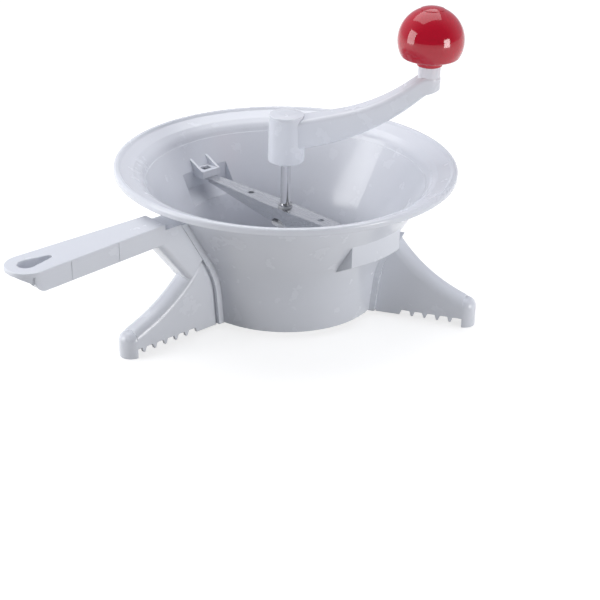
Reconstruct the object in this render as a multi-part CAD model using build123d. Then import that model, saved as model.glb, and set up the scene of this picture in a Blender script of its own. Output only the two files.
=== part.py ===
from build123d import *
import os
from math import cos, hypot, pi, radians, sin, sqrt, tan

# A hand cranked food mill.  Millimetres, +Z up along the crank axis.
# The origin is the middle of the bowl's flat base ring.  The handle points to -X, the steel
# crossbar lies along Y, and at rest the crank arm points between +X and -Y.

# ------------------------------------------------------------------ driving dimensions
# bowl
RIM_R = 120.0            # outer radius of the rolled rim
BOWL_H = 100.0           # rim top above the base ring
BASE_R = 67.2            # outer radius of the base ring
WALL = 2.4               # moulded wall
DRAFT = 5.5              # degrees, lean of the collar above the base ring
CONE = 30.9              # degrees, lean of the funnel wall
KNEE_Z = 36.9            # height where collar and funnel would meet
KNEE_BLEND = 60.0        # radius of the bell curve between them
STEP_Z = 87.6            # height of the fine step line inside
STEP = 0.5
SHOULDER_RUN = 7.6       # step line to the flange, across
SHOULDER_DROP = 4.6      # flange edge below the rim top
BEAD_W = 5.0             # width of the raised rim bead
BEAD_RISE = 1.7
LIP_H = 5.0              # turned-down lip
LIP_T = 2.4
LEDGE_R = 59.5           # opening under the sieve
LEDGE_T = 2.4
# catches for the crossbar, one on each side, in shallow pockets of the wall
CATCH_FRONT = 77.5       # distance of the front lip from the axis
CATCH_W = 17.4
CATCH_T = 5.2
CATCH_SKIN = 2.2
CATCH_HOLE_X = 5.0
CATCH_HOLE_Y = 7.0
GUSSET_T = 2.0
GUSSET_RUN = 16.5
GUSSET_RISE = 7.2
POCKET_R = 90.5          # outer radius of the pocket's bump
POCKET_W = 47.6
POCKET_Z = 54.6          # lower edge of the bump's face
POCKET_FOOT = 47.0       # where its sloping underside meets the wall
# crossbar
BAR_AZ = 92.2            # it lies a little askew of the line across the handle
BAR_TOP = 66.4           # top face above the base ring
BAR_SHEET = 1.5
BAR_MID_W = 15.0
BAR_END_W = 9.0
BAR_END = 86.0           # half length with the tongues
BAR_FLANGE_END = 76.0    # half length of the side flanges
BAR_DEPTH = 11.0         # depth of the side flanges at the middle
BAR_HOLE_R = 2.25
BAR_HOLE_AT = 35.0
TAB_W = 2.4
TAB_T = 1.5
TAB_H = 5.6
ARCH_W = 13.0
ARCH_H = 3.0
# shaft and what runs on it
SHAFT_R = 3.5
PILOT_R = 2.5
PILOT_LOW = -2.5
RUN_FIT = 0.05           # radial running clearance of a shaft in its hole
GAP = 0.3                # gap between faces that must not rub
SEAT_FIT = 0.15          # clearance of a moulded piece that slides over another
BUSH_R = 5.0
BUSH_FLANGE_R = 9.5
BUSH_FLANGE_T = 1.5
BUSH_PROUD = 1.0
CLIP_R = 5.2
CLIP_T = 0.8
GROOVE_DEPTH = 0.6
# sieve and pressing blade
SIEVE_R = 64.2
SIEVE_T = 0.8
SIEVE_RIM_H = 4.0
SIEVE_HOLE_R = 2.0
SIEVE_PITCH = 8.6
SIEVE_RINGS = 6
SIEVE_HUB_R = 8.0        # unperforated middle
BLADE_R = 60.5
BLADE_T = 1.2
BLADE_TILT = 20.0        # degrees
BLADE_LEAD = 5.0         # pressing edge ahead of the axis
BLADE_GAP = 0.5          # running gap over the sieve
HUB_TUBE_R = 7.0
HUB_TUBE_TOP = 20.0
PIN_R = 1.25
WASHER_R = 9.5
WASHER_T = 1.5
# spring
WIRE_R = 0.8
COIL_R = 7.0             # to the middle of the wire
ACTIVE_TURNS = 6
END_PITCH = 2.3
# crank
HUB_LOW = 101.0
HUB_TOP = 133.4
HUB_R_LOW = 12.9
HUB_R_TOP = 12.1
HUB_WALL = 2.4
HUB_CORE_R = 7.2
FLAT = 2.6               # half width over the two flats of the shaft end
CAP_T = 2.7
CAP_R = 12.0
ARM_REACH = 96.6         # axis to knob
ARM_W_ROOT = 20.0
ARM_W_END = 16.0
ARM_EDGE_R = 3.2
ARM_TAPER_END = 40.0      # beyond it the arm keeps its width
ARM_TOP_ROOT = 130.8     # heights of the arm's top line: on the axis, at the bend, at the knob
ARM_TOP_BEND = 143.2
ARM_TOP_END = 165.7
ARM_LOW_ROOT = 110.0     # and of its lower line
ARM_LOW_BEND = 120.7
ARM_LOW_END = 153.3
ARM_WALL = 2.3
CRANK_AZ = -42.8
SHAFT_DEPTH = 9.4        # end of the shaft below the hub's top
SCREW_R = 2.0
SCREW_HEAD_R = 4.0
CAP_PLUG_R = 7.0
BOSS_R = 7.65
BOSS_TOP = 171.4
PIN_DEPTH = 13.0         # how deep the knob's pin sits in the boss
# knob
KNOB_R = 22.8
KNOB_Z = 189.3           # middle of the ball
KNOB_CUT = 12.2          # flat underside below the middle
NECK_R = 8.8
KNOB_PIN_R = 3.0
PIN_HEAD_R = 5.0
PIN_HEAD_T = 2.5
PIN_HEAD_RISE = 14.4     # underside of the pin's head above the ball's middle
KNOB_CAP_R = 8.5
KNOB_CAP_RISE = 0.35
KNOB_CAP_EDGE = 1.5
# handle
HANDLE_DOWN = 12.2       # top of the grip's root below the rim top
HANDLE_DROOP = 1.15      # degrees, fall of the grip towards its tip
HANDLE_H = 14.0
HANDLE_OUT = 110.5       # tip outside the rim
HANDLE_END_W = 29.6
GRIP_START = 4.0         # the raised grip starts this far inside the rim's edge
GRIP_DROP = 4.0          # step down under the rim
GRIP_EDGE = 0.8          # rounding of its top edges
GRIP_RIB_H = 4.0         # low cross ribs inside the open grip
GRIP_RIBS = (30.0, 54.0, 78.0)   # their places along the grip
SEAM_AT = (39.0, 77.0)   # fine parting lines across the grip's sides
SEAM_W = 0.5
SEAM_DEPTH = 0.25
HANDLE_WALL = 2.2
HANDLE_CUT = 19.0        # length of the rising underside at the tip
TIP_OPEN = 10.0          # the side walls end this far before the tip
TIP_PLATE = 3.0          # thickness of the tip
TIP_STEP = 1.5           # how far the nose under it is set back
HANG_BIG_R = 6.0
HANG_SMALL_R = 2.3
HANG_FAR = 13.5          # middles of its two ends before the tip
HANG_NEAR = 29.8
NECK_LOW = 40.0          # tip of the neck's outer web: height and distance from the axis
NECK_REACH = 96.5
NECK_RISE = 1.32         # slope of the web
NECK_ROUND = 5.0
# feet
FOOT_W = 16.0
FOOT_OUT = 21.0          # tips of the two free feet outside the rim
HANDLE_FOOT_OUT = 27.0   # tip of the foot under the handle outside the rim
FOOT_TOP = 54.0          # where the ramp leaves the mounting pad
RAMP_RUN = 17.9          # from there to the bend, across
RAMP_STEEP = 53.7        # degrees, slopes above and below the bend
RAMP_FLAT = 22.7
RAMP_R = 108.0           # radius of the bend
RAMP_ROUND = 6.5         # radius of the ramp's shoulders
FOOT_LOW = -1.0          # tooth tips
POST_LOW = -4.0          # half-round post at the tip
FOOT_WALL = 2.2
TOOTH_PITCH = 9.1
TOOTH_FIRST = 97.4
TOOTH_DEPTH = 3.6
TOOTH_LEAN = 1.6         # half width of a tooth's root
TOOTH_TIP = 0.35         # half width of its tip
TOOTH_FLAT_END = 87.7
PAD_T = 3.5              # how far the bowl's mounting pads stand out
PAD_W = 22.0
RIB_T = 1.6

# sizes that follow from them
HANDLE_TOP = BOWL_H - HANDLE_DOWN
HANDLE_TIP = RIM_R + HANDLE_OUT
GRIP_FROM = RIM_R - GRIP_START
NECK_W = FOOT_W + 2 * (SEAT_FIT + HANDLE_WALL)
BAR_LOW = BAR_TOP - BAR_DEPTH
BUSH_LOW = BAR_LOW - BUSH_FLANGE_T
BUSH_TOP = BAR_TOP + BUSH_PROUD
CLIP_LOW = BUSH_TOP + GAP
SIEVE_TOP = LEDGE_T + SIEVE_T
BLADE_LOW = SIEVE_TOP + BLADE_GAP
SHAFT_TOP = HUB_TOP - SHAFT_DEPTH
SCREW_SEAT = SHAFT_TOP + 1.8
PIN_Z = HUB_TUBE_TOP - 4.0
PIN_FOOT = BOSS_TOP - PIN_DEPTH
KNOB_LOW = BOSS_TOP + GAP
PIN_HEAD_LOW = KNOB_Z + PIN_HEAD_RISE
KNOB_SEAT = PIN_HEAD_LOW - GAP


# ------------------------------------------------------------------ helpers
def outline(*corners):
    """Face through (x, y, radius) corners, each rounded by its radius."""
    ends, curves = [], []
    for i, (x, y, radius) in enumerate(corners):
        here = Vector(x, y)
        back = Vector(*corners[i - 1][:2]) - here
        ahead = Vector(*corners[(i + 1) % len(corners)][:2]) - here
        if radius > 0:
            half = radians(back.get_angle(ahead)) / 2
            trim = radius / tan(half)
            inward = (back.normalized() + ahead.normalized()).normalized()
            start, end = here + back.normalized() * trim, here + ahead.normalized() * trim
            curves.append(ThreePointArc(start, here + inward * (radius / sin(half) - radius), end))
        else:
            start = end = here
        ends.append((start, end))
    for i in range(len(ends)):
        leave, arrive = ends[i - 1][1], ends[i][0]
        if (arrive - leave).length > 0.001:
            curves.append(Line(leave, arrive))
    return make_face(Curve() + curves)


def turned(face):
    """Solid of revolution about Z of a face drawn as (radius, height)."""
    return revolve(Plane.XZ * face, Axis.Z)


def side_cut(face, width):
    """Slab of a side view (x, height), centred on the XZ plane."""
    return extrude(Plane.XZ * face, width / 2, both=True)


def plan_cut(face, low, high):
    """Slab of a plan view between two heights."""
    return extrude(Pos(0, 0, low) * face, high - low)


def tube(outer, inner, low, high):
    return Pos(0, 0, low) * extrude(Circle(outer) - Circle(inner), high - low)


def rod(radius, low, high):
    return Pos(0, 0, low) * extrude(Circle(radius), high - low)


def block(x0, x1, y0, y1, z0, z1):
    return Pos((x0 + x1) / 2, (y0 + y1) / 2, (z0 + z1) / 2) * Box(x1 - x0, y1 - y0, z1 - z0)


def turn(part, degrees):
    return Rot(0, 0, degrees) * part


# ------------------------------------------------------------------ the bowl's wall line
KNEE_R = BASE_R + KNEE_Z * tan(radians(DRAFT))


def collar_x(z, offset=0.0):
    """Radius of the straight collar at height z, moved out by offset."""
    return BASE_R + z * tan(radians(DRAFT)) + offset / cos(radians(DRAFT))


def cone_x(z, offset=0.0):
    """Radius of the straight funnel wall at height z, moved out by offset."""
    return KNEE_R + (z - KNEE_Z) * tan(radians(CONE)) + offset / cos(radians(CONE))


def knee(offset=0.0):
    """Corner (x, z, radius) of the bell curve, moved out by offset."""
    half = radians(CONE - DRAFT) / 2
    mean = radians(CONE + DRAFT) / 2
    x = KNEE_R + offset * cos(mean) / cos(half)
    z = KNEE_Z - offset * sin(mean) / cos(half)
    return x, z, KNEE_BLEND - offset


def wall_side(offset, low, high):
    """Side view from the axis out to the wall line moved out by offset."""
    return outline((0, low, 0), (collar_x(low, offset), low, 0), knee(offset),
                   (cone_x(high, offset), high, 0), (0, high, 0))


# ------------------------------------------------------------------ bowl
def bowl_section():
    flange_z = BOWL_H - SHOULDER_DROP
    step_x = cone_x(STEP_Z, -WALL)
    shoulder_x = step_x + STEP + SHOULDER_RUN
    groove_x = RIM_R - BEAD_W
    lip_x = RIM_R - LIP_T
    return outline(
        (LEDGE_R, 0, 0.4),
        (collar_x(0), 0, 0.8),
        knee(),
        (cone_x(flange_z - 1.7 * WALL), flange_z - 1.7 * WALL, 3.0),
        (lip_x, BOWL_H - BEAD_RISE - WALL, 0.3),
        (lip_x, BOWL_H - LIP_H, 0.4),
        (RIM_R, BOWL_H - LIP_H, 0.8),
        (RIM_R, BOWL_H, 2.0),
        (groove_x + BEAD_RISE, BOWL_H, 0.9),
        (groove_x, BOWL_H - BEAD_RISE, 0.5),
        (shoulder_x, flange_z, 2.5),
        (step_x + STEP + SHOULDER_RUN * 0.32, flange_z - 3.3, 9.0),
        (step_x + STEP, STEP_Z, 0.0),
        (step_x, STEP_Z, 0.0),
        knee(-WALL),
        (collar_x(LEDGE_T, -WALL), LEDGE_T, 0.5),
        (LEDGE_R, LEDGE_T, 0.4),
    )


def pad(high):
    """Upright mounting pad along +X, up to a height."""
    return side_cut(wall_side(PAD_T, 0, high), PAD_W)


def pocket(inset, top):
    """The pocket's form, its walls moved in by inset, with a sloping underside."""
    rise = inset * 1.15
    near_x = cone_x(POCKET_FOOT)
    body = turned(outline(
        (0, POCKET_FOOT + rise, 0), (near_x, POCKET_FOOT + rise, 0),
        (POCKET_R - inset, POCKET_Z + rise, 1.0), (POCKET_R - inset, top, 0), (0, top, 0)))
    half = POCKET_W / 2 - inset
    return body & block(0, RIM_R, -half, half, POCKET_FOOT, top)


def catch():
    """Ledge with two gussets that holds one end of the crossbar down."""
    half = CATCH_W / 2
    top = BAR_TOP + CATCH_T
    ledge = block(CATCH_FRONT, RIM_R, -half, half, BAR_TOP, top)
    room = block(CATCH_FRONT + GUSSET_T, POCKET_R, -half + GUSSET_T, half - GUSSET_T,
                 BAR_TOP, top - CATCH_SKIN)
    hole_at = BAR_END - BAR_SHEET - TAB_T / 2
    hole = Pos(hole_at, 0, top) * Box(CATCH_HOLE_X, CATCH_HOLE_Y, 4 * CATCH_T)
    side = outline((CATCH_FRONT, top - 1, 0), (CATCH_FRONT + 1.0, top, 0),
                   (CATCH_FRONT + GUSSET_RUN, top + GUSSET_RISE, 0), (RIM_R, top + GUSSET_RISE, 0),
                   (RIM_R, top - 1, 0))
    gusset = side_cut(side, GUSSET_T)
    shift = half - GUSSET_T / 2
    return ledge - room - hole + Pos(0, shift, 0) * gusset + Pos(0, -shift, 0) * gusset


def make_bowl():
    within_wall = turned(wall_side(-WALL / 2, -1, BOWL_H))
    added = turn(pad(HANDLE_TOP - GRIP_DROP), 180)
    for azimuth in (60, -60):
        added += turn(pad(FOOT_TOP), azimuth)
    for azimuth in (BAR_AZ, BAR_AZ - 180):
        added += turn(pocket(0, BAR_TOP + CATCH_T), azimuth)
    bowl = turned(bowl_section()) + (added - within_wall)
    for azimuth in (BAR_AZ, BAR_AZ - 180):
        bowl -= turn(pocket(WALL, STEP_Z), azimuth)
        bowl += turn(catch(), azimuth) & within_wall
    return bowl


# ------------------------------------------------------------------ feet
def ramp(inset, drop):
    """Long bar with a rounded back that follows the ramp, narrowed by inset and lowered by drop."""
    half, deep = FOOT_W / 2 - inset, BOWL_H
    steep, flat = tan(radians(RAMP_STEEP)), tan(radians(RAMP_FLAT))
    pad_x = cone_x(FOOT_TOP, PAD_T)
    bend_z = FOOT_TOP - RAMP_RUN * steep
    path = Plane.XZ * FilletPolyline(
        (pad_x - RAMP_RUN, FOOT_TOP + RAMP_RUN * steep), (pad_x + RAMP_RUN, bend_z),
        (pad_x + 4 * RAMP_RUN, bend_z - 3 * RAMP_RUN * flat), radius=RAMP_R)
    shoulder = RAMP_ROUND - inset
    back = outline((-half, -deep, 0), (half, -deep, 0), (half, 0, shoulder), (-half, 0, shoulder))
    start = Plane(origin=path @ 0, x_dir=(0, 1, 0), z_dir=path % 0)
    return Pos(0, 0, -drop) * sweep(start * back, path=path)


def ramp_z(x):
    """Height of the ramp's back past its bend."""
    bend_x = cone_x(FOOT_TOP, PAD_T) + RAMP_RUN
    return FOOT_TOP - RAMP_RUN * tan(radians(RAMP_STEEP)) - (x - bend_x) * tan(radians(RAMP_FLAT))


def tooth_notches(end):
    """Gaps between the teeth that grip the rim of a pot, up to the post."""
    count = 1 + int((end - TOOTH_LEAN - TOOTH_FIRST) / TOOTH_PITCH)
    tips = [TOOTH_FIRST + i * TOOTH_PITCH for i in range(count)]
    low, high = FOOT_LOW - 1, FOOT_LOW + TOOTH_DEPTH
    notches = []
    for left, right in zip([TOOTH_FLAT_END] + tips, tips + [end + TOOTH_TIP]):
        x0, x1 = left + TOOTH_TIP, right - TOOTH_TIP
        lean = 0 if x1 == end else TOOTH_LEAN
        notches.append(outline((x0, low, 0), (x0 + TOOTH_LEAN, high, 0.7),
                               (x1 - lean, high, 0.7), (x1, low, 0)))
    return side_cut(Sketch() + notches, FOOT_W + 2)


def foot_end(inset, drop, end):
    """Round end of a foot with the ramp's shoulders, around its middle at end."""
    top = ramp_z(end + FOOT_WALL) - drop
    half = FOOT_W / 2 - inset
    return Pos(end, 0, 0) * turned(outline(
        (0, POST_LOW - inset, 0), (half, POST_LOW - inset, 0), (half, top, RAMP_ROUND - inset), (0, top, 0)))


def make_foot(out):
    """Hollow ramp with a round end, a row of teeth below and a half-round post to stand on."""
    half, drop = FOOT_W / 2, FOOT_WALL * 1.35
    end = RIM_R + out - half
    body = ramp(0, 0) & block(0, end, -half, half, POST_LOW, FOOT_TOP)
    body += foot_end(0, 0, end)
    body -= block(0, end, -FOOT_W, FOOT_W, POST_LOW, FOOT_LOW)
    body -= side_cut(wall_side(PAD_T, POST_LOW, FOOT_TOP + 5), PAD_W)
    body -= block(0, collar_x(0, PAD_T) + GAP, -half, half, POST_LOW, 0)
    room = ramp(FOOT_WALL, drop) & block(0, end, -half, half, POST_LOW, FOOT_TOP)
    room -= side_cut(wall_side(PAD_T + FOOT_WALL, POST_LOW - 5, FOOT_TOP + 5), PAD_W)
    ribs = Part()
    for x in (TOOTH_FIRST, TOOTH_FIRST + 2 * TOOTH_PITCH, TOOTH_FIRST + 3.5 * TOOTH_PITCH):
        ribs += room & block(x - RIB_T / 2, x + RIB_T / 2, -half, half, FOOT_LOW + 2 * TOOTH_DEPTH, FOOT_TOP)
    return body - room - foot_end(FOOT_WALL, drop, end) - tooth_notches(end) + ribs


# ------------------------------------------------------------------ handle
def handle_plan(inset=0.0, start=GRIP_FROM):
    """Plan view of the widening grip with its round tip."""
    half, end = NECK_W / 2 - inset, HANDLE_END_W / 2 - inset
    wide = HANDLE_TIP - HANDLE_END_W / 2
    tip = HANDLE_TIP - inset
    return outline((start, -half, 0), (wide, -end, 0), (tip, -end, end - 1.0),
                   (tip, end, end - 1.0), (wide, end, 0), (start, half, 0))


def hang_hole(grow=0.0):
    """Teardrop hole of the handle's loop end."""
    far = Pos(HANDLE_TIP - HANG_FAR, 0) * Circle(HANG_BIG_R + grow)
    near = Pos(HANDLE_TIP - HANG_NEAR, 0) * Circle(HANG_SMALL_R + grow)
    return make_hull((far + near).edges())


def grip_form():
    """The grip before it is hollowed: side walls, and a thin tip with a nose set back under it."""
    top, low = HANDLE_TOP, HANDLE_TOP - HANDLE_H
    wall_end, cut_x = HANDLE_TIP - TIP_OPEN, HANDLE_TIP - HANDLE_CUT
    walls = outline((GRIP_FROM, top, 0), (wall_end, top, 0), (wall_end, low, TIP_OPEN * 0.75), (GRIP_FROM, low, 0))
    nose = outline((cut_x - TIP_OPEN, top, 0), (HANDLE_TIP, top, 0), (HANDLE_TIP, top - TIP_PLATE, 0),
                   (cut_x, low + TIP_STEP / 3, 0), (cut_x - TIP_OPEN, low + TIP_STEP / 3, 0))
    form = side_cut(walls, 2 * HANDLE_END_W) & plan_cut(handle_plan(), low, top)
    form += side_cut(nose, 2 * HANDLE_END_W) & plan_cut(handle_plan(TIP_STEP), low, top)
    form += plan_cut(handle_plan(), top - TIP_PLATE, top)
    return fillet(form.faces().sort_by(Axis.Z)[-1].outer_wire().edges(), GRIP_EDGE)


def grip_room():
    """Open underside of the grip, with low cross ribs and a sleeve round the hole."""
    roof = HANDLE_TOP - HANDLE_WALL
    low = HANDLE_TOP - HANDLE_H
    inside = plan_cut(handle_plan(HANDLE_WALL + TIP_STEP, GRIP_FROM + 3 * HANDLE_WALL), low, roof)
    inside -= plan_cut(hang_hole(HANDLE_WALL), low, roof)
    for along in GRIP_RIBS:
        x = GRIP_FROM + along
        inside -= block(x, x + RIB_T, -HANDLE_END_W, HANDLE_END_W, roof - GRIP_RIB_H, roof)
    return inside


def neck(inset, top):
    """Slanting neck under the rim, with rounded outer corners, its walls moved in by inset."""
    half, web = NECK_W / 2 - inset, NECK_REACH - inset * 1.3
    low = NECK_LOW - NECK_REACH / 10
    web -= (NECK_LOW - low) / NECK_RISE
    plan = outline((0, -half, 0), (web, -half, NECK_ROUND - inset), (web, half, NECK_ROUND - inset), (0, half, 0))
    slant = Vector(1 / NECK_RISE, 0, 1)
    return extrude(Pos(0, 0, low) * plan, (top - low) * slant.length, dir=slant.normalized())


def side_seams():
    """Fine parting lines across the two sides of the grip."""
    seams = Part()
    for along in SEAM_AT:
        x = GRIP_FROM + along
        strip = side_cut(outline((x, HANDLE_TOP - HANDLE_H, 0), (x, HANDLE_TOP - GRIP_EDGE, 0),
                                 (x + SEAM_W, HANDLE_TOP - GRIP_EDGE, 0), (x + SEAM_W, HANDLE_TOP - HANDLE_H, 0)),
                         2 * HANDLE_END_W)
        seams += strip - plan_cut(handle_plan(SEAM_DEPTH), 0, BOWL_H)
    return seams


def make_handle():
    shelf = HANDLE_TOP - GRIP_DROP
    pad_x = cone_x(FOOT_TOP, PAD_T)
    stem = neck(0, shelf) & side_cut(outline(
        (0, shelf, 0), (GRIP_FROM + GRIP_DROP, shelf, 0), (GRIP_FROM + GRIP_DROP, NECK_LOW, 0),
        (NECK_REACH, NECK_LOW, 0), (pad_x, FOOT_TOP - 1, 0), (0, FOOT_TOP - 1, 0)), NECK_W)
    hollow = neck(HANDLE_WALL, shelf - HANDLE_WALL) & block(0, GRIP_FROM + HANDLE_WALL, -NECK_W, NECK_W, 0, shelf)
    body = grip_form() + stem - hollow - grip_room() - side_seams()
    body -= plan_cut(hang_hole(), 0, BOWL_H)
    root = Pos(GRIP_FROM, 0, HANDLE_TOP)
    body = root * Rot(0, HANDLE_DROOP, 0) * root.inverse() * body
    body -= side_cut(wall_side(PAD_T, 0, BOWL_H), PAD_W + 10)
    return body - ramp(-SEAT_FIT, -GAP)


# ------------------------------------------------------------------ crossbar
def bar_plan(inset=0.0):
    mid, end = BAR_MID_W / 2 - inset, BAR_END_W / 2 - inset
    return outline((-BAR_FLANGE_END, -end, 0), (-ARCH_W, -mid, 0), (ARCH_W, -mid, 0),
                   (BAR_FLANGE_END, -end, 0), (BAR_FLANGE_END, end, 0), (ARCH_W, mid, 0),
                   (-ARCH_W, mid, 0), (-BAR_FLANGE_END, end, 0))


def make_crossbar():
    """Pressed sheet: flat top, two tapering side flanges and a tongue at each end."""
    shallow = BAR_SHEET + 1.0
    side = outline(
        (-BAR_FLANGE_END, BAR_TOP, 0), (BAR_FLANGE_END, BAR_TOP, 0),
        (BAR_FLANGE_END, BAR_TOP - shallow, 0), (ARCH_W / 2 + 2, BAR_TOP - BAR_DEPTH, 1.0),
        (ARCH_W / 2, BAR_TOP - BAR_DEPTH, 0.8), (ARCH_W / 4, BAR_TOP - BAR_DEPTH + ARCH_H, 2.0),
        (-ARCH_W / 4, BAR_TOP - BAR_DEPTH + ARCH_H, 2.0), (-ARCH_W / 2, BAR_TOP - BAR_DEPTH, 0.8),
        (-ARCH_W / 2 - 2, BAR_TOP - BAR_DEPTH, 1.0), (-BAR_FLANGE_END, BAR_TOP - shallow, 0))
    bar = plan_cut(bar_plan(), 0, BAR_TOP) & side_cut(side, BAR_MID_W + 2)
    bar -= plan_cut(bar_plan(BAR_SHEET), 0, BAR_TOP - BAR_SHEET)
    half = BAR_END_W / 2
    for end in (1, -1):
        x0, x1 = sorted((end * (BAR_FLANGE_END - 1), end * BAR_END))
        bar += block(x0, x1, -half, half, BAR_TOP - BAR_SHEET, BAR_TOP)
        x0, x1 = sorted((end * (BAR_END - BAR_SHEET - TAB_T), end * (BAR_END - BAR_SHEET)))
        bar += block(x0, x1, -TAB_W / 2, TAB_W / 2, BAR_TOP - BAR_SHEET / 2, BAR_TOP + TAB_H)
        bar -= Pos(end * BAR_HOLE_AT, 0, 0) * rod(BAR_HOLE_R, 0, BAR_TOP + 1)
    bar -= rod(BUSH_R + RUN_FIT, 0, BAR_TOP + 1)
    return turn(bar, BAR_AZ)


# ------------------------------------------------------------------ shaft group
def make_bush():
    """Flanged bush: the flange bears on the bar's side flanges, the spring on its underside."""
    return tube(BUSH_FLANGE_R, SHAFT_R + RUN_FIT, BUSH_LOW, BAR_LOW) + tube(
        BUSH_R, SHAFT_R + RUN_FIT, BAR_LOW, BUSH_TOP)


def make_shaft():
    shaft = rod(SHAFT_R, BLADE_LOW, SHAFT_TOP) + rod(PILOT_R, PILOT_LOW, BLADE_LOW)
    shaft -= tube(2 * SHAFT_R, SHAFT_R - GROOVE_DEPTH, CLIP_LOW - 0.05, CLIP_LOW + CLIP_T + 0.05)
    flats = block(-2 * SHAFT_R, 2 * SHAFT_R, -FLAT, FLAT, HUB_LOW + 2, SHAFT_TOP + 1)
    above = block(-2 * SHAFT_R, 2 * SHAFT_R, -9, 9, HUB_LOW + 2, SHAFT_TOP + 1)
    shaft -= above - flats
    shaft -= rod(SCREW_R + RUN_FIT, SHAFT_TOP - 12, SHAFT_TOP + 1)
    return shaft - Pos(0, 0, PIN_Z) * Rot(0, 90, 0) * Cylinder(PIN_R + RUN_FIT, 40)


def make_clip():
    ring = tube(CLIP_R, SHAFT_R - GROOVE_DEPTH + RUN_FIT, CLIP_LOW, CLIP_LOW + CLIP_T)
    mouth = 2 * (SHAFT_R - GROOVE_DEPTH) - 0.8
    return ring - block(0, 2 * CLIP_R, -mouth / 2, mouth / 2, CLIP_LOW - 1, CLIP_LOW + 2)


# ------------------------------------------------------------------ sieve and blade
def make_sieve():
    section = outline((PILOT_R + RUN_FIT, LEDGE_T, 0), (SIEVE_R, LEDGE_T, 1.2),
                      (SIEVE_R, LEDGE_T + SIEVE_RIM_H, 0), (SIEVE_R - SIEVE_T, LEDGE_T + SIEVE_RIM_H, 0),
                      (SIEVE_R - SIEVE_T, SIEVE_TOP, 0.4), (PILOT_R + RUN_FIT, SIEVE_TOP, 0))
    spots = []
    for ring in range(SIEVE_RINGS):
        radius = SIEVE_HUB_R + SIEVE_PITCH * (ring + 0.5)
        count = int(2 * pi * radius / (1.25 * SIEVE_PITCH))
        spots += [Rot(0, 0, 360 * (i + ring / 2) / count) * Pos(radius, 0) for i in range(count)]
    holes = Sketch() + [spot * RegularPolygon(SIEVE_HOLE_R, 6) for spot in spots]
    return turned(section) - plan_cut(holes, LEDGE_T - 1, SIEVE_TOP + 1)


def make_blade():
    """Half disc of sheet that tilts up from its pressing edge."""
    plan = Circle(BLADE_R) & (Pos(0, BLADE_LEAD - BLADE_R) * Rectangle(2 * BLADE_R, 2 * BLADE_R))
    sheet = Pos(0, BLADE_LEAD, BLADE_LOW) * Rot(-BLADE_TILT, 0, 0) * Pos(0, -BLADE_R, BLADE_T / 2) * Box(
        3 * BLADE_R, 2.6 * BLADE_R, BLADE_T)
    blade = plan_cut(plan, BLADE_LOW, BAR_TOP) & sheet
    return blade - rod(HUB_TUBE_R + RUN_FIT, 0, BAR_TOP)


def make_blade_hub():
    hub = tube(HUB_TUBE_R, SHAFT_R + RUN_FIT, BLADE_LOW, HUB_TUBE_TOP)
    return hub - Pos(0, 0, PIN_Z) * Rot(0, 90, 0) * Cylinder(PIN_R + RUN_FIT, 40)


def make_pin():
    return Pos(0, 0, PIN_Z) * Rot(0, 90, 0) * Cylinder(PIN_R, 2 * HUB_TUBE_R)


def make_washer():
    return tube(WASHER_R, SHAFT_R + 2 * RUN_FIT, HUB_TUBE_TOP, HUB_TUBE_TOP + WASHER_T)


# ------------------------------------------------------------------ spring
def biarc(start, start_dir, end, end_dir):
    """Two tangent arcs from one point and direction to the next."""
    span, turn_sum = end - start, start_dir + end_dir
    bend = 2 * (1 - start_dir.dot(end_dir))
    along = span.dot(turn_sum)
    reach = (sqrt(along * along + bend * span.dot(span)) - along) / bend
    first, last = start + start_dir * reach, end - end_dir * reach
    middle = (first + last) / 2
    return [TangentArc(start, middle, tangent=start_dir),
            TangentArc(middle, end, tangent=last - first)]


def make_spring():
    """Compression spring with closed end turns, one unbroken wire."""
    low, high = HUB_TUBE_TOP + WASHER_T + WIRE_R, BUSH_LOW - WIRE_R
    pitch = (high - low - 2 * END_PITCH) / ACTIVE_TURNS
    rises = [END_PITCH / 2] * 2 + [pitch / 2] * (2 * ACTIVE_TURNS) + [END_PITCH / 2] * 2
    heights = [low]
    for rise in rises:
        heights.append(heights[-1] + rise)
    points, heads = [], []
    for i, z in enumerate(heights):
        side = 1 if i % 2 == 0 else -1
        slope = (rises[max(i - 1, 0)] + rises[min(i, len(rises) - 1)]) / (2 * pi * COIL_R)
        points.append(Vector(side * COIL_R, 0, z))
        heads.append(Vector(0, side, slope).normalized())
    heads[0], heads[-1] = Vector(0, 1, 0), Vector(0, 1, 0)
    edges = [Line(points[0] - heads[0] * 2 * WIRE_R, points[0])]
    for i in range(len(rises)):
        edges += biarc(points[i], heads[i], points[i + 1], heads[i + 1])
    edges.append(Line(points[-1], points[-1] + heads[-1] * 2 * WIRE_R))
    path = Wire([curve.edge() for curve in edges])
    print("spring: least gap between turns %.2f mm" % spring_gap(path))
    profile = Plane(origin=path @ 0, z_dir=path % 0) * Circle(WIRE_R)
    return sweep(profile, path=path)


def spring_gap(path):
    """Least free distance between one turn and the next, measured on points."""
    count = 900
    spots = [path @ (i / count) for i in range(count + 1)]
    apart = pi * COIL_R
    step = path.length / count
    skip = int(apart / step)
    least = min(hypot(a.X - b.X, a.Y - b.Y, a.Z - b.Z)
                for i, a in enumerate(spots[::2]) for b in spots[2 * i + skip::2])
    return least - 2 * WIRE_R


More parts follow.
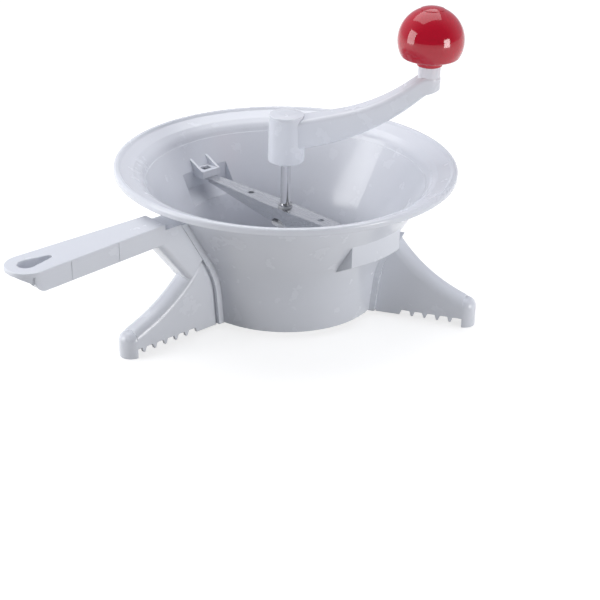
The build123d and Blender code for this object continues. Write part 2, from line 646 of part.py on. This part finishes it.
# ------------------------------------------------------------------ crank
def arm_side(inset=0.0):
    """Side view of the rising arm; the inset one is its open channel."""
    low = 0.0 if inset == 0 else 12.0
    return outline(
        (0, ARM_TOP_ROOT - inset, 0),
        (62.0, ARM_TOP_BEND - inset, 120.0 + inset),
        (93.0, ARM_TOP_END - inset, 12.0),
        (ARM_REACH + 12, ARM_TOP_END - inset, 0),
        (ARM_REACH + 12, ARM_LOW_END + 3.6 - low, 0),
        (ARM_REACH, ARM_LOW_END - low, 0),
        (56.8, ARM_LOW_BEND - low, 150.0),
        (0, ARM_LOW_ROOT - low, 0),
    )


def arm_plan(inset=0.0, start=0.0):
    """Plan view of the arm, with a round end under the knob."""
    root, end = ARM_W_ROOT / 2 - inset, ARM_W_END / 2 - inset
    tip = ARM_REACH + end
    return outline((start, -root, 0), (ARM_TAPER_END, -end, 60.0), (tip, -end, end - 0.01),
                   (tip, end, end - 0.01), (ARM_TAPER_END, end, 60.0), (start, root, 0))


def arm_shell():
    """The arm with its long top edges rounded."""
    arm = side_cut(arm_side(), 40) & plan_cut(arm_plan(), HUB_LOW, BOSS_TOP)
    top = [e for e in arm.edges() if is_arm_top(e)]
    return fillet(top, ARM_EDGE_R)


def is_arm_top(edge):
    middle = edge @ 0.5
    flat = abs((edge @ 0).Y - (edge @ 1).Y) < ARM_W_END - 1
    roof = edge.bounding_box()
    return flat and middle.X > 1 and roof.max.Z - arm_ridge(middle.X) > -0.6


def arm_ridge(x):
    """Height of the arm's top line, as if it had no bends."""
    slope = (ARM_TOP_END - ARM_TOP_BEND) / 31.0
    return min(max(ARM_TOP_ROOT + x * 0.2, ARM_TOP_BEND + (x - 62.0) * slope), ARM_TOP_END)


def make_crank():
    arm = arm_shell()
    hub_face = outline((0, HUB_LOW, 0), (HUB_R_LOW, HUB_LOW, 1.2), (HUB_R_TOP, HUB_TOP, 0.3), (0, HUB_TOP, 0))
    hub = turned(hub_face)
    boss = Pos(ARM_REACH, 0, 0) * rod(BOSS_R, PIN_FOOT, BOSS_TOP)
    outer = arm + hub + boss
    # the arm is open underneath, with cross ribs
    channel = side_cut(arm_side(ARM_WALL), 40) & plan_cut(arm_plan(ARM_WALL), 0, BOSS_TOP)
    channel &= block(HUB_R_LOW + 0.5, ARM_REACH - BOSS_R, -20, 20, 0, BOSS_TOP)
    ribs = Part()
    for i, x in enumerate((34.0, 50.0, 66.0)):
        ribs += channel & block(x, x + RIB_T, -20, 20, ARM_LOW_BEND + 3 + 6.5 * i, BOSS_TOP)
    # the hub is a shell around a core that takes the shaft
    room = tube(HUB_R_LOW - HUB_WALL, HUB_CORE_R, HUB_LOW - 1, HUB_LOW + 17)
    spokes = block(-HUB_R_LOW, HUB_R_LOW, -RIB_T / 2, RIB_T / 2, HUB_LOW + 3, HUB_LOW + 17)
    spokes += turn(spokes, 90)
    room -= spokes
    crank = outer - (channel - ribs) - room
    bore = rod(SHAFT_R + RUN_FIT, HUB_LOW - 1, SHAFT_TOP + 0.3)
    keep = block(-9, 9, FLAT + RUN_FIT, 9, HUB_LOW + 2, SHAFT_TOP + 1)
    bore -= keep + turn(keep, 180)
    crank -= bore
    crank -= rod(SCREW_R + 0.2, HUB_LOW, HUB_TOP + 1)
    crank -= rod(CAP_PLUG_R + RUN_FIT, SCREW_SEAT, HUB_TOP + 1)
    crank -= Pos(ARM_REACH, 0, 0) * rod(KNOB_PIN_R + RUN_FIT, PIN_FOOT, BOSS_TOP + 1)
    return crank


def make_hub_cap():
    face = outline((0, HUB_TOP, 0), (CAP_R, HUB_TOP, 0), (CAP_R, HUB_TOP + 0.55 * CAP_T, 0.7),
                   (CAP_R * 0.55, HUB_TOP + 0.96 * CAP_T, 12), (0, HUB_TOP + CAP_T, 0))
    plug = tube(CAP_PLUG_R, CAP_PLUG_R - 1.4, HUB_TOP - 3.5, HUB_TOP)
    return turned(face) + plug


def make_hub_screw():
    head = Pos(0, 0, SCREW_SEAT) * extrude(Circle(SCREW_HEAD_R) - RegularPolygon(1.7, 6), 2.6)
    floor = rod(SCREW_HEAD_R, SCREW_SEAT, SCREW_SEAT + 1.0)
    return head + floor + rod(SCREW_R, SHAFT_TOP - 10, SCREW_SEAT)


# ------------------------------------------------------------------ knob
def ball_z(radius):
    """Height of the ball's upper surface at a distance from the knob's axis."""
    return KNOB_Z + sqrt(KNOB_R ** 2 - radius ** 2)


def at_knob(part):
    """Moves a piece drawn on the Z axis to the knob's axis."""
    return Pos(ARM_REACH, 0, 0) * part


def make_knob():
    flat_z = KNOB_Z - KNOB_CUT
    flat_r = sqrt(KNOB_R ** 2 - KNOB_CUT ** 2)
    rim_z = ball_z(KNOB_CAP_R)
    seat = rim_z - KNOB_CAP_EDGE
    bore = KNOB_PIN_R + RUN_FIT
    ball = make_face(
        Polyline((bore, flat_z), (flat_r, flat_z))
        + ThreePointArc((flat_r, flat_z), (KNOB_R, KNOB_Z), (KNOB_CAP_R, rim_z))
        + Polyline((KNOB_CAP_R, rim_z), (KNOB_CAP_R, seat), (KNOB_CAP_R - 2, seat),
                   (KNOB_CAP_R - 2, KNOB_SEAT), (bore, KNOB_SEAT), (bore, flat_z)))
    neck = outline((bore, KNOB_LOW, 0), (NECK_R, KNOB_LOW, 0.4), (NECK_R, KNOB_LOW + 1.4, 0.5),
                   (NECK_R + 0.8, flat_z - 0.9, 2.5), (NECK_R + 5.5, flat_z + 0.6, 0), (bore, flat_z + 0.6, 0))
    body = turned(ball)
    edge = body.edges().filter_by(GeomType.CIRCLE).sort_by_distance((flat_r, 0, flat_z))[0]
    return at_knob(fillet(edge, 3.0) + turned(neck))


def make_knob_cap():
    """Cap that closes the knob's top, standing a little proud of the ball."""
    edge_r = KNOB_CAP_R - RUN_FIT
    seat = ball_z(KNOB_CAP_R) - KNOB_CAP_EDGE
    rim = edge_r - 0.3
    dome = [(r, ball_z(r) + KNOB_CAP_RISE) for r in (rim, rim / 2, 0)]
    face = make_face(
        Polyline((0, ball_z(0) + KNOB_CAP_RISE), (0, seat), (edge_r, seat), (edge_r, dome[0][1] - 0.3), dome[0])
        + ThreePointArc(*dome))
    head_top = PIN_HEAD_LOW + PIN_HEAD_T
    plug = tube(KNOB_CAP_R - 2 - RUN_FIT, KNOB_CAP_R - 3.2, head_top + 2 * GAP, seat)
    return at_knob(turned(face) + plug)


def make_knob_pin():
    head_top = PIN_HEAD_LOW + PIN_HEAD_T
    return at_knob(rod(KNOB_PIN_R, PIN_FOOT, PIN_HEAD_LOW) + rod(PIN_HEAD_R, PIN_HEAD_LOW, head_top))


# ------------------------------------------------------------------ all nodes
def make_crank_group():
    """Everything that turns with the crank, drawn with the arm along +X."""
    return {
        "shaft": make_shaft(),
        "retaining_clip": make_clip(),
        "pressing_blade": make_blade(),
        "blade_hub": make_blade_hub(),
        "blade_pin": make_pin(),
        "spring_washer": make_washer(),
        "crank_arm": make_crank(),
        "hub_cap": make_hub_cap(),
        "hub_screw": make_hub_screw(),
        "knob": make_knob(),
        "knob_cap": make_knob_cap(),
        "knob_pin": make_knob_pin(),
    }


def make_all():
    foot = make_foot(FOOT_OUT)
    nodes = {
        "bowl": make_bowl(),
        "handle": turn(make_handle(), 180),
        "handle_foot": turn(make_foot(HANDLE_FOOT_OUT), 180),
        "right_foot": turn(foot, -60),
        "rear_foot": turn(foot, 60),
        "sieve_disc": make_sieve(),
        "crossbar": make_crossbar(),
        "bar_bush": make_bush(),
        "spring": make_spring(),
    }
    for name, part in make_crank_group().items():
        nodes[name] = turn(part, CRANK_AZ)
    return nodes


os.makedirs("parts", exist_ok=True)
for name, part in make_all().items():
    part.label = name
    export_step(part, "parts/" + name + ".step")
    print("%-16s solids %d  volume %.0f mm3" % (name, len(part.solids()), part.volume))
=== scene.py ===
"""Looks of a hand cranked food mill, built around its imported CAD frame.

Metres, +Z up along the crank's axis, the handle towards -X and the steel crossbar nearly along Y.
The camera stands where the photograph was taken from.
"""

import logging
from dataclasses import dataclass
from enum import Enum
from math import cos, radians, sin

import bmesh
import bpy
from mathutils import Matrix, Vector

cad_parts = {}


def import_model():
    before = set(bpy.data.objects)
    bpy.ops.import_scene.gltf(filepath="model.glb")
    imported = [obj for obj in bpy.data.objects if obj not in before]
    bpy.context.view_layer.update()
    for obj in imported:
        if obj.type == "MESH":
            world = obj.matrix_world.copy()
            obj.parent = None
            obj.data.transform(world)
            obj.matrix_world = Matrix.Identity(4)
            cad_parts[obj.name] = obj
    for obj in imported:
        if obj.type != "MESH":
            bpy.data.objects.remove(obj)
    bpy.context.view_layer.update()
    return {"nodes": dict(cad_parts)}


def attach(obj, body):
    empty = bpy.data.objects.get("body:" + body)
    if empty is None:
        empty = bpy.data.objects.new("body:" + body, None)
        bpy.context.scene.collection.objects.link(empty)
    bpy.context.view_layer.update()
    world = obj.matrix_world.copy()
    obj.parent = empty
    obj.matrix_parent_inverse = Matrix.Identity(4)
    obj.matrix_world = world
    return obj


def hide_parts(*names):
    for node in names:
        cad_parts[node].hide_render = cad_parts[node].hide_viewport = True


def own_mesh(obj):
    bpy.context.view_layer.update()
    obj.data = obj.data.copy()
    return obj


LOG = logging.getLogger("food_mill")
MM = 0.001
VIEW_TURN = -42.8  # degrees about Z from the viewer's own axes to the mill's
BEVEL_SAMPLES = 6  # rays that feel for an edge when its shading is rounded


# ---------------------------------------------------------------- node helpers
class NodeBench:
    """A material's node tree with short calls to place and join nodes."""

    def __init__(self, name: str) -> None:
        """Makes a new material with only a Principled shader and its output.

        Args:
            name: the material's name.
        """
        self.material = bpy.data.materials.new(name)
        self.material.use_nodes = True
        self.tree = self.material.node_tree
        self.tree.nodes.clear()
        self.output = self.tree.nodes.new("ShaderNodeOutputMaterial")
        self.shader = self.tree.nodes.new("ShaderNodeBsdfPrincipled")
        self.join(self.shader.outputs["BSDF"], self.output.inputs["Surface"])

    def add(self, kind: str, **settings: object) -> bpy.types.Node:
        """Adds one node.

        Args:
            kind: the node's type name without the ShaderNode prefix.
            **settings: attributes to set on the node.

        Returns:
            The new node.
        """
        node = self.tree.nodes.new("ShaderNode" + kind)
        for key, value in settings.items():
            setattr(node, key, value)
        return node

    def join(self, source: bpy.types.NodeSocket, target: bpy.types.NodeSocket) -> None:
        """Joins an output to an input."""
        self.tree.links.new(source, target)

    def drive(self, source: bpy.types.NodeSocket, name: str) -> None:
        """Joins an output to the shader's input of that name."""
        self.join(source, self.shader.inputs[name])

    def coordinates(self) -> bpy.types.NodeSocket:
        """Object coordinates, which stay put on the piece."""
        return self.add("TexCoord").outputs["Object"]

    def noise(self, scale: float, detail: float = 2.0, roughness: float = 0.5) -> bpy.types.NodeSocket:
        """Noise on object coordinates.

        Args:
            scale: cells per metre.
            detail: octaves.
            roughness: weight of the fine octaves.

        Returns:
            The noise factor's socket.
        """
        node = self.add("TexNoise")
        self.join(self.coordinates(), node.inputs["Vector"])
        node.inputs["Scale"].default_value = scale
        node.inputs["Detail"].default_value = detail
        node.inputs["Roughness"].default_value = roughness
        return node.outputs["Fac"]

    def stretched_noise(self, stretch: tuple[float, float, float],
                        detail: float = 3.0) -> bpy.types.NodeSocket:
        """Noise with its own scale along each axis, as for a brushed grain.

        Args:
            stretch: cells per metre along X, Y and Z.
            detail: octaves.

        Returns:
            The noise factor's socket.
        """
        mapping = self.add("Mapping")
        self.join(self.coordinates(), mapping.inputs["Vector"])
        mapping.inputs["Scale"].default_value = stretch
        node = self.add("TexNoise")
        self.join(mapping.outputs["Vector"], node.inputs["Vector"])
        node.inputs["Scale"].default_value = 1.0
        node.inputs["Detail"].default_value = detail
        return node.outputs["Fac"]

    def ranged(self, source: bpy.types.NodeSocket, low: float, high: float,
               start: float = 0.3, end: float = 0.7) -> bpy.types.NodeSocket:
        """Maps a factor to a range.

        Args:
            source: the factor.
            low: result at start.
            high: result at end.
            start: factor that gives low.
            end: factor that gives high.

        Returns:
            The mapped value's socket.
        """
        node = self.add("MapRange")
        self.join(source, node.inputs["Value"])
        node.inputs["From Min"].default_value = start
        node.inputs["From Max"].default_value = end
        node.inputs["To Min"].default_value = low
        node.inputs["To Max"].default_value = high
        return node.outputs["Result"]

    def mixed(self, factor: bpy.types.NodeSocket, first: tuple[float, ...],
              second: tuple[float, ...]) -> bpy.types.NodeSocket:
        """Mixes two colours by a factor.

        Args:
            factor: 0 gives first, 1 gives second.
            first: a linear colour.
            second: a linear colour.

        Returns:
            The mixed colour's socket.
        """
        node = self.add("Mix", data_type="RGBA")
        self.join(factor, node.inputs[0])
        node.inputs[6].default_value = (*first[:3], 1.0)
        node.inputs[7].default_value = (*second[:3], 1.0)
        return node.outputs[2]

    def bump(self, height: bpy.types.NodeSocket, strength: float, distance: float,
             before: bpy.types.NodeSocket | None = None) -> bpy.types.NodeSocket:
        """Adds a bump.

        Args:
            height: the height factor.
            strength: 0 to 1.
            distance: height in metres at factor 1.
            before: the normal of another bump beneath.

        Returns:
            The normal's socket.
        """
        node = self.add("Bump")
        node.inputs["Strength"].default_value = strength
        node.inputs["Distance"].default_value = distance
        self.join(height, node.inputs["Height"])
        if before is not None:
            self.join(before, node.inputs["Normal"])
        return node.outputs["Normal"]

    def soft_edges(self, radius: float) -> bpy.types.NodeSocket:
        """Normals that round every edge over, as a mould leaves them.

        Args:
            radius: the rounding's radius in metres.

        Returns:
            The normal's socket.
        """
        node = self.add("Bevel", samples=BEVEL_SAMPLES)
        node.inputs["Radius"].default_value = radius
        return node.outputs["Normal"]

    def set(self, **values: float) -> None:
        """Sets uniform values on the shader's own sockets, with _ for a blank in a name."""
        for key, value in values.items():
            self.shader.inputs[key.replace("_", " ")].default_value = value


# ---------------------------------------------------------------- finishes
@dataclass(frozen=True)
class MouldedPlastic:
    """Glossy injection moulded plastic.

    The surface has a slight long wave from moulding, a fine grain, faint cloudy differences
    of tone and an uneven gloss. The scales are in cells per metre.
    """

    name: str
    tone: tuple[float, float, float]
    shade: tuple[float, float, float]
    gloss_low: float = 0.16
    gloss_high: float = 0.30
    coat: float = 0.25
    coat_roughness: float = 0.06
    index: float = 1.49
    edge: float = 0.5 * MM
    cloud_scale: float = 9.0
    scuff_scale: float = 60.0
    wave_scale: float = 28.0
    wave_strength: float = 0.25
    wave_depth: float = 0.06 * MM
    grain_scale: float = 900.0
    grain_strength: float = 0.04
    grain_depth: float = 0.02 * MM

    def make(self) -> bpy.types.Material:
        """Builds the material.

        Returns:
            The finished material.
        """
        bench = NodeBench(self.name)
        cloud = bench.noise(self.cloud_scale, detail=3.0)
        bench.drive(bench.mixed(bench.ranged(cloud, 0.0, 1.0), self.tone, self.shade), "Base Color")
        scuff = bench.noise(self.scuff_scale, detail=4.0, roughness=0.55)
        bench.drive(bench.ranged(scuff, self.gloss_low, self.gloss_high), "Roughness")
        wave = bench.bump(bench.noise(self.wave_scale, detail=0.0), self.wave_strength,
                          self.wave_depth, before=bench.soft_edges(self.edge))
        grain = bench.bump(bench.noise(self.grain_scale, detail=1.0), self.grain_strength,
                           self.grain_depth, before=wave)
        bench.drive(grain, "Normal")
        bench.set(IOR=self.index, Coat_Weight=self.coat, Coat_Roughness=self.coat_roughness)
        return bench.material


@dataclass(frozen=True)
class RolledSteel:
    """Stainless sheet, bar or wire; the grain is in cells per metre along X, Y and Z."""

    name: str
    tone: tuple[float, float, float]
    grain: tuple[float, float, float]
    rough_low: float = 0.16
    rough_high: float = 0.34
    dulling: float = 0.86
    grain_strength: float = 0.25
    grain_depth: float = 0.01 * MM
    smear_scale: float = 60.0
    smear_strength: float = 0.2
    smear_depth: float = 0.02 * MM

    def make(self) -> bpy.types.Material:
        """Builds the material.

        Returns:
            The finished material.
        """
        bench = NodeBench(self.name)
        lines = bench.stretched_noise(self.grain, detail=4.0)
        dull = tuple(self.dulling * part for part in self.tone)
        bench.drive(bench.mixed(bench.ranged(lines, 0.0, 1.0), self.tone, dull), "Base Color")
        bench.drive(bench.ranged(lines, self.rough_low, self.rough_high), "Roughness")
        smear = bench.bump(bench.noise(self.smear_scale, detail=3.0), self.smear_strength,
                           self.smear_depth)
        bench.drive(bench.bump(lines, self.grain_strength, self.grain_depth, before=smear), "Normal")
        bench.set(Metallic=1.0)
        return bench.material


class Finish(Enum):
    """Every finish on the mill."""

    WHITE = MouldedPlastic("white moulded plastic", (0.79, 0.81, 0.86), (0.76, 0.785, 0.845))
    RED = MouldedPlastic("red moulded plastic", (0.55, 0.003, 0.024), (0.51, 0.003, 0.021),
                         gloss_low=0.05, gloss_high=0.10, coat=0.3)
    BUSH = MouldedPlastic("white bearing plastic", (0.72, 0.73, 0.75), (0.66, 0.67, 0.69),
                          gloss_low=0.32, gloss_high=0.5, coat=0.0)
    SHEET = RolledSteel("brushed sheet steel", (0.66, 0.67, 0.69), (90.0, 9000.0, 9000.0))
    BAR = RolledSteel("brushed crossbar steel", (0.70, 0.71, 0.73), (7000.0, 60.0, 7000.0))
    SHAFT = RolledSteel("polished shaft steel", (0.72, 0.72, 0.73), (60.0, 60.0, 9000.0),
                        rough_low=0.07, rough_high=0.18)
    WIRE = RolledSteel("spring wire steel", (0.52, 0.53, 0.55), (900.0, 900.0, 900.0),
                       rough_low=0.2, rough_high=0.36)


class FinishShelf:
    """Makes each finish once and hands it out."""

    def __init__(self) -> None:
        """Starts with an empty shelf."""
        self._made: dict[Finish, bpy.types.Material] = {}

    def get(self, finish: Finish) -> bpy.types.Material:
        """The material of a finish.

        Args:
            finish: which one.

        Returns:
            The material, made at its first use.
        """
        if finish not in self._made:
            self._made[finish] = finish.value.make()
        return self._made[finish]

    def dress(self, piece: bpy.types.Object, finish: Finish) -> None:
        """Gives a piece one finish all over.

        Args:
            piece: the object.
            finish: its finish.
        """
        piece.data.materials.clear()
        piece.data.materials.append(self.get(finish))


# ---------------------------------------------------------------- sub-assemblies
@dataclass
class DressedNodes:
    """CAD nodes whose shape is right and that only need their finish."""

    finishes: dict[str, Finish]

    def dress(self, nodes: dict[str, bpy.types.Object], shelf: FinishShelf) -> None:
        """Gives every node its finish.

        Args:
            nodes: the frame's nodes by name.
            shelf: where finishes come from.
        """
        for name, finish in self.finishes.items():
            shelf.dress(nodes[name], finish)
            LOG.info("%s: %s", name, finish.value.name)


@dataclass
class CoilSpring:
    """The wound wire under the crossbar, which shortens as the crank is pulled up.

    Lift is how far the crank comes up, and is not used; weld is how near points are made one.
    """

    lift: float = 4.0 * MM
    weld: float = 0.001 * MM

    def make(self, node: bpy.types.Object, shelf: FinishShelf) -> bpy.types.Object:
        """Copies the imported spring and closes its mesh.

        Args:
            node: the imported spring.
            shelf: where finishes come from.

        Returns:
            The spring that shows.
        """
        form = bmesh.new()
        form.from_mesh(node.data)
        bmesh.ops.remove_doubles(form, verts=form.verts, dist=self.weld)
        bmesh.ops.recalc_face_normals(form, faces=form.faces)
        mesh = bpy.data.meshes.new("coil_spring")
        form.to_mesh(mesh)
        form.free()
        mesh.shade_smooth()
        spring = bpy.data.objects.new("coil_spring", mesh)
        bpy.context.scene.collection.objects.link(spring)
        shelf.dress(spring, Finish.WIRE)
        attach(spring, "carriage")
        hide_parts("spring")
        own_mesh(spring)
        return spring


# ---------------------------------------------------------------- studio
@dataclass
class PhotoCamera:
    """The photograph's camera, fitted to the bowl's rim, the handle and the crank.

    Distance and elevation are from the point on the crank's axis at height level. Yaw, pitch
    and roll turn the view itself. Angles are in degrees, the focal length is in pixels of a
    frame that is frame_px wide, and the sensor is in millimetres.
    """

    distance: float = 1.100
    level: float = 0.097565
    elevation: float = 21.002
    yaw: float = 0.662
    pitch: float = 25.927
    roll: float = 1.213
    focal_px: float = 1565.455
    frame_px: float = 600.0
    sensor: float = 36.0
    nearest: float = 0.05
    farthest: float = 20.0

    def make(self) -> bpy.types.Object:
        """Builds the camera and makes it the scene's.

        Returns:
            The camera object.
        """
        rise = radians(self.elevation)
        place = Vector((0.0, -self.distance * cos(rise), self.distance * sin(rise) + self.level))
        yaw, pitch = radians(self.yaw), radians(self.pitch)
        forward = Vector((sin(yaw) * cos(pitch), cos(yaw) * cos(pitch), -sin(pitch)))
        level_right = forward.cross(Vector((0.0, 0.0, 1.0))).normalized()
        level_up = level_right.cross(forward)
        roll = radians(self.roll)
        right = level_right * cos(roll) + level_up * sin(roll)
        up = level_up * cos(roll) - level_right * sin(roll)
        axes = Matrix((right, up, -forward)).transposed().to_4x4()
        turn = Matrix.Rotation(radians(VIEW_TURN), 4, "Z")
        data = bpy.data.cameras.new("photo camera")
        data.sensor_width = self.sensor
        data.lens = self.sensor * self.focal_px / self.frame_px
        data.clip_start, data.clip_end = self.nearest, self.farthest
        camera = bpy.data.objects.new("photo camera", data)
        camera.matrix_world = turn @ Matrix.Translation(place) @ axes
        bpy.context.scene.collection.objects.link(camera)
        bpy.context.scene.camera = camera
        return camera


@dataclass
class SoftBox:
    """One rectangular studio light, its place given as the viewer sees it: right, away and up."""

    name: str
    place: tuple[float, float, float]
    aim: tuple[float, float, float]
    size: tuple[float, float]
    power: float

    def make(self) -> None:
        """Hangs the light."""
        data = bpy.data.lights.new(self.name, "AREA")
        data.shape = "RECTANGLE"
        data.size, data.size_y = self.size
        data.energy = self.power
        light = bpy.data.objects.new(self.name, data)
        toward = Vector(self.aim) - Vector(self.place)
        facing = toward.to_track_quat("-Z", "Y").to_matrix().to_4x4()
        hung = Matrix.Translation(self.place) @ facing
        light.matrix_world = Matrix.Rotation(radians(VIEW_TURN), 4, "Z") @ hung
        bpy.context.scene.collection.objects.link(light)


@dataclass
class Studio:
    """White floor, surroundings that are dim on the photograph's side, and soft lights.

    Dim and bright are the room's levels on the photograph's side and opposite, and dim_until
    and bright_from are how far a direction points away from that side where each is reached.
    """

    floor_z: float = -4.0 * MM
    floor_size: float = 12.0
    floor_grey: float = 0.45
    floor_roughness: float = 0.9
    floor_glow: float = 0.72
    dim: float = 0.14
    bright: float = 0.62
    dim_until: float = -0.6
    bright_from: float = 0.5
    tint: tuple[float, float, float] = (0.88, 0.90, 1.0)
    lights: tuple[SoftBox, ...] = (
        SoftBox("overhead box", (-0.15, 0.45, 1.5), (0.0, 0.0, 0.08), (1.6, 1.4), 13.0),
        SoftBox("left box", (-1.05, -0.25, 0.38), (0.0, 0.0, 0.10), (0.62, 0.8), 7.0),
        SoftBox("right box", (0.85, -0.62, 0.16), (0.0, 0.0, 0.10), (0.36, 0.5), 5.5),
    )

    def _white_to_viewer(self, name: str, colour: float) -> bpy.types.Material:
        """A matt surface that the camera and mirrors see as white wherever no shadow falls.

        Args:
            name: the material's name.
            colour: grey level of the matt surface.

        Returns:
            The material.
        """
        bench = NodeBench(name)
        bench.set(Roughness=self.floor_roughness)
        bench.shader.inputs["Base Color"].default_value = (colour, colour, colour, 1.0)
        glow = bench.add("Emission")
        path = bench.add("LightPath")
        most = bench.add("Math", operation="MAXIMUM")
        bench.join(path.outputs["Is Camera Ray"], most.inputs[0])
        bench.join(path.outputs["Is Glossy Ray"], most.inputs[1])
        seen = bench.ranged(most.outputs[0], 0.0, self.floor_glow, 0.0, 1.0)
        bench.join(seen, glow.inputs["Strength"])
        both = bench.add("AddShader")
        bench.join(bench.shader.outputs["BSDF"], both.inputs[0])
        bench.join(glow.outputs["Emission"], both.inputs[1])
        bench.join(both.outputs["Shader"], bench.output.inputs["Surface"])
        return bench.material

    def make_floor(self) -> bpy.types.Object:
        """Lays the floor the mill's feet stand on.

        Returns:
            The floor object.
        """
        form = bmesh.new()
        bmesh.ops.create_grid(form, x_segments=1, y_segments=1, size=self.floor_size / 2)
        bmesh.ops.translate(form, verts=form.verts, vec=(0.0, 0.0, self.floor_z))
        mesh = bpy.data.meshes.new("floor")
        form.to_mesh(mesh)
        form.free()
        floor = bpy.data.objects.new("floor", mesh)
        bpy.context.scene.collection.objects.link(floor)
        mesh.materials.append(self._white_to_viewer("white floor", self.floor_grey))
        return floor

    def make_world(self) -> None:
        """Sets the surroundings: white to the camera, and a room dim on the photograph's side."""
        world = bpy.data.worlds.new("white room")
        world.use_nodes = True
        tree = world.node_tree
        tree.nodes.clear()
        output = tree.nodes.new("ShaderNodeOutputWorld")
        place = tree.nodes.new("ShaderNodeTexCoord")
        side = tree.nodes.new("ShaderNodeVectorMath")
        side.operation = "DOT_PRODUCT"
        tree.links.new(place.outputs["Generated"], side.inputs[0])
        away = Matrix.Rotation(radians(VIEW_TURN), 3, "Z") @ Vector((0.0, 1.0, 0.0))
        side.inputs[1].default_value = away
        level = tree.nodes.new("ShaderNodeMapRange")
        level.interpolation_type = "SMOOTHSTEP"
        level.inputs["From Min"].default_value = self.dim_until
        level.inputs["From Max"].default_value = self.bright_from
        level.inputs["To Min"].default_value = self.dim
        level.inputs["To Max"].default_value = self.bright
        tree.links.new(side.outputs["Value"], level.inputs["Value"])
        room = tree.nodes.new("ShaderNodeBackground")
        room.inputs["Color"].default_value = (*self.tint, 1.0)
        tree.links.new(level.outputs["Result"], room.inputs["Strength"])
        backdrop = tree.nodes.new("ShaderNodeBackground")
        backdrop.inputs["Color"].default_value = (1.0, 1.0, 1.0, 1.0)
        path = tree.nodes.new("ShaderNodeLightPath")
        shown = tree.nodes.new("ShaderNodeMixShader")
        tree.links.new(path.outputs["Is Camera Ray"], shown.inputs[0])
        tree.links.new(room.outputs["Background"], shown.inputs[1])
        tree.links.new(backdrop.outputs["Background"], shown.inputs[2])
        tree.links.new(shown.outputs["Shader"], output.inputs["Surface"])
        bpy.context.scene.world = world

    def make(self) -> None:
        """Builds floor, surroundings and lights."""
        self.make_floor()
        self.make_world()
        for light in self.lights:
            light.make()
        bpy.context.scene.view_settings.view_transform = "Standard"


def main() -> None:
    """Dresses the mill and sets the studio."""
    logging.basicConfig(level=logging.INFO, format="%(name)s %(message)s")
    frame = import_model()
    shelf = FinishShelf()
    nodes = frame["nodes"]
    DressedNodes({
        "bowl": Finish.WHITE,
        "handle": Finish.WHITE,
        "handle_foot": Finish.WHITE,
        "right_foot": Finish.WHITE,
        "rear_foot": Finish.WHITE,
        "sieve_disc": Finish.SHEET,
        "crossbar": Finish.BAR,
        "bar_bush": Finish.BUSH,
        "shaft": Finish.SHAFT,
        "retaining_clip": Finish.WIRE,
        "pressing_blade": Finish.SHEET,
        "blade_hub": Finish.SHEET,
        "blade_pin": Finish.SHAFT,
        "spring_washer": Finish.SHAFT,
        "spring": Finish.WIRE,
        "crank_arm": Finish.WHITE,
        "hub_cap": Finish.WHITE,
        "hub_screw": Finish.SHAFT,
        "knob": Finish.RED,
        "knob_cap": Finish.RED,
        "knob_pin": Finish.SHAFT,
    }).dress(nodes, shelf)
    CoilSpring().make(nodes["spring"], shelf)
    Studio().make()
    PhotoCamera().make()


if __name__ == "__main__":
    main()
